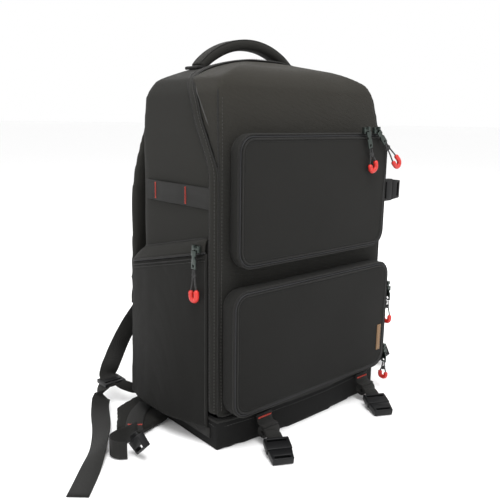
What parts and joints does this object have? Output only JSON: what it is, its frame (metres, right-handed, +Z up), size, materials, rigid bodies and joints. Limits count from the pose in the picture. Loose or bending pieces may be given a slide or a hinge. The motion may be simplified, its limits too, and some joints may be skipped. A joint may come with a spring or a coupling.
{
  "type": "drone carrying case",
  "caption": "Upright soft backpack case for a drone and camera gear: opening front with zipped pockets, side pockets, grab handle, shoulder straps and hip belt.",
  "frame": {"origin": "centre of the base, on the surface that the bag stands on", "axes": "+Z up, -Y the front with the two zipped pockets, +X to the right of the front as seen by someone facing it"},
  "size_m": [0.5874, 0.4035, 0.503],
  "materials": {
    "shell_fabric": "matte woven polyester",
    "hood_fabric": "fine ripstop, slight sheen",
    "pocket_fabric": "smooth coated polyester over foam",
    "base_fabric": "dense coated canvas",
    "webbing": "ribbed nylon webbing",
    "mesh_pad": "spacer mesh over foam",
    "lining": "brushed loop lining over foam",
    "pull_cord": "round braided cord",
    "buckle_plastic": "moulded acetal",
    "stiffener": "extruded sheet",
    "zip_metal": "gunmetal plated, satin",
    "red_rubber": "soft silicone, satin",
    "tan_leather": "natural grain, waxed"
  },
  "bodies": {
    "case": {"rear_shell": "shell_fabric", "base_tub": "base_fabric", "frame_sheet": "stiffener", "laptop_divider": "lining", "padded_dividers": "lining", "back_pads": "mesh_pad", "shoulder_strap_left": "mesh_pad", "shoulder_strap_right": "mesh_pad", "strap_webbing_left": "webbing", "strap_webbing_right": "webbing", "anchor_webbing": "webbing", "ladder_locks": "buckle_plastic", "sternum_strap": "webbing", "side_bands": "webbing", "lash_webbing": "webbing", "side_tab": "webbing", "side_buckle_socket": "buckle_plastic", "handle_anchors": "webbing"},
    "front_opening": {"front_panel": "shell_fabric", "hood": "hood_fabric", "pocket_gussets": "pocket_fabric"},
    "upper_pocket_lid": {"upper_lid": "pocket_fabric"},
    "lower_pocket_lid": {"lower_lid": "pocket_fabric", "leather_tag": "tan_leather"},
    "pocket_left": {"side_pocket_left": "pocket_fabric"},
    "pocket_right": {"side_pocket_right": "pocket_fabric"},
    "grab_handle": {"handle": "webbing"},
    "lash_left": {"lash_buckle_left": "buckle_plastic"},
    "lash_right": {"lash_buckle_right": "buckle_plastic"},
    "buckle_tongue": {"side_buckle_tongue": "buckle_plastic"},
    "hip_left": {"hip_wing_left": "mesh_pad", "hip_buckle_left": "buckle_plastic"},
    "hip_right": {"hip_wing_right": "mesh_pad", "hip_buckle_right": "buckle_plastic"},
    "upper_a_run": {"upper_a_slider": "zip_metal"},
    "upper_a_pull": {"upper_a_puller": "zip_metal", "upper_a_cord": "pull_cord", "upper_a_sleeve": "red_rubber"},
    "upper_b_run": {"upper_b_slider": "zip_metal"},
    "upper_b_pull": {"upper_b_puller": "zip_metal", "upper_b_cord": "pull_cord", "upper_b_sleeve": "red_rubber"},
    "lower_a_run": {"lower_a_slider": "zip_metal"},
    "lower_a_pull": {"lower_a_puller": "zip_metal", "lower_a_cord": "pull_cord", "lower_a_sleeve": "red_rubber"},
    "lower_b_run": {"lower_b_slider": "zip_metal"},
    "lower_b_pull": {"lower_b_puller": "zip_metal", "lower_b_cord": "pull_cord", "lower_b_sleeve": "red_rubber"},
    "left_run": {"left_slider": "zip_metal"},
    "left_pull": {"left_puller": "zip_metal", "left_cord": "pull_cord", "left_sleeve": "red_rubber"},
    "right_run": {"right_slider": "zip_metal"},
    "right_pull": {"right_puller": "zip_metal", "right_cord": "pull_cord", "right_sleeve": "red_rubber"}
  },
  "joints": [
    {"name": "front_hinge", "type": "hinge", "parent": "case", "child": "front_opening", "pos_m": [0, -0.111, 0.044], "axis": [1, 0, 0], "range_deg": [0, 50]},
    {"name": "upper_lid_hinge", "type": "hinge", "parent": "front_opening", "child": "upper_pocket_lid", "pos_m": [0, -0.105, 0.229], "axis": [1, 0, 0], "range_deg": [0, 85]},
    {"name": "lower_lid_hinge", "type": "hinge", "parent": "front_opening", "child": "lower_pocket_lid", "pos_m": [0, -0.111, 0.047], "axis": [1, 0, 0], "range_deg": [0, 50]},
    {"name": "pocket_left_hinge", "type": "hinge", "parent": "case", "child": "pocket_left", "pos_m": [-0.1508, 0, 0.026], "axis": [0, -1, 0], "range_deg": [0, 15], "stiffness_Nm_per_rad": 0.6, "springref_deg": -6.88},
    {"name": "pocket_right_hinge", "type": "hinge", "parent": "case", "child": "pocket_right", "pos_m": [0.1508, 0, 0.026], "axis": [0, 1, 0], "range_deg": [0, 15], "stiffness_Nm_per_rad": 0.6, "springref_deg": -6.88},
    {"name": "handle_hinge", "type": "hinge", "parent": "case", "child": "grab_handle", "pos_m": [0, 0.042, 0.466], "axis": [1, 0, 0], "range_deg": [-30, 20], "stiffness_Nm_per_rad": 0.25},
    {"name": "upper_a_slide", "type": "slide", "parent": "upper_pocket_lid", "child": "upper_a_run", "axis": [1, 0, 0], "range_m": [-0.15, 0]},
    {"name": "upper_a_swing", "type": "hinge", "parent": "upper_a_run", "child": "upper_a_pull", "pos_m": [0.08, -0.1118, 0.3854], "axis": [-0.9613, 0, -0.2756], "range_deg": [0, 60]},
    {"name": "upper_b_slide", "type": "slide", "parent": "upper_pocket_lid", "child": "upper_b_run", "axis": [1, 0, 0], "range_m": [0, 0.01]},
    {"name": "upper_b_swing", "type": "hinge", "parent": "upper_b_run", "child": "upper_b_pull", "pos_m": [0.101, -0.1118, 0.3854], "axis": [-0.6947, 0, -0.7193], "range_deg": [0, 60]},
    {"name": "lower_a_slide", "type": "slide", "parent": "front_opening", "child": "lower_a_run", "axis": [0, 0, 1], "range_m": [-0.008, 0.015]},
    {"name": "lower_a_swing", "type": "hinge", "parent": "lower_a_run", "child": "lower_a_pull", "pos_m": [0.1545, -0.1045, 0.163], "axis": [0, -1, 0], "range_deg": [0, 60]},
    {"name": "lower_b_slide", "type": "slide", "parent": "front_opening", "child": "lower_b_run", "axis": [0, 0, 1], "range_m": [0, 0.02]},
    {"name": "lower_b_swing", "type": "hinge", "parent": "lower_b_run", "child": "lower_b_pull", "pos_m": [0.1545, -0.1045, 0.066], "axis": [0, -1, 0], "range_deg": [0, 60]},
    {"name": "left_slide", "type": "slide", "parent": "pocket_left", "child": "left_run", "axis": [-0.1256, 0.9662, -0.2251], "range_m": [0, 0.085]},
    {"name": "left_swing", "type": "hinge", "parent": "left_run", "child": "left_pull", "pos_m": [-0.164, -0.06, 0.24948], "axis": [0, 1, 0], "range_deg": [0, 60]},
    {"name": "right_slide", "type": "slide", "parent": "pocket_right", "child": "right_run", "axis": [0.1256, 0.9662, -0.2251], "range_m": [0, 0.085]},
    {"name": "right_swing", "type": "hinge", "parent": "right_run", "child": "right_pull", "pos_m": [0.164, -0.06, 0.24948], "axis": [0, -1, 0], "range_deg": [0, 60]},
    {"name": "lash_left_hinge", "type": "hinge", "parent": "case", "child": "lash_left", "pos_m": [-0.092, -0.1295, 0.013], "axis": [-0.8829, 0.4695, 0], "range_deg": [0, 35]},
    {"name": "lash_right_hinge", "type": "hinge", "parent": "case", "child": "lash_right", "pos_m": [0.1, -0.1295, 0.013], "axis": [-0.8829, 0.4695, 0], "range_deg": [0, 35]},
    {"name": "side_buckle_slide", "type": "slide", "parent": "case", "child": "buckle_tongue", "axis": [1, 0, 0], "range_m": [0, 0.03]},
    {"name": "hip_left_hinge", "type": "hinge", "parent": "case", "child": "hip_left", "pos_m": [-0.152, 0, 0.0048], "axis": [0, 1, 0], "range_deg": [0, 14]},
    {"name": "hip_right_hinge", "type": "hinge", "parent": "case", "child": "hip_right", "pos_m": [0.152, 0, 0.0048], "axis": [0, -1, 0], "range_deg": [0, 14]}
  ]
}
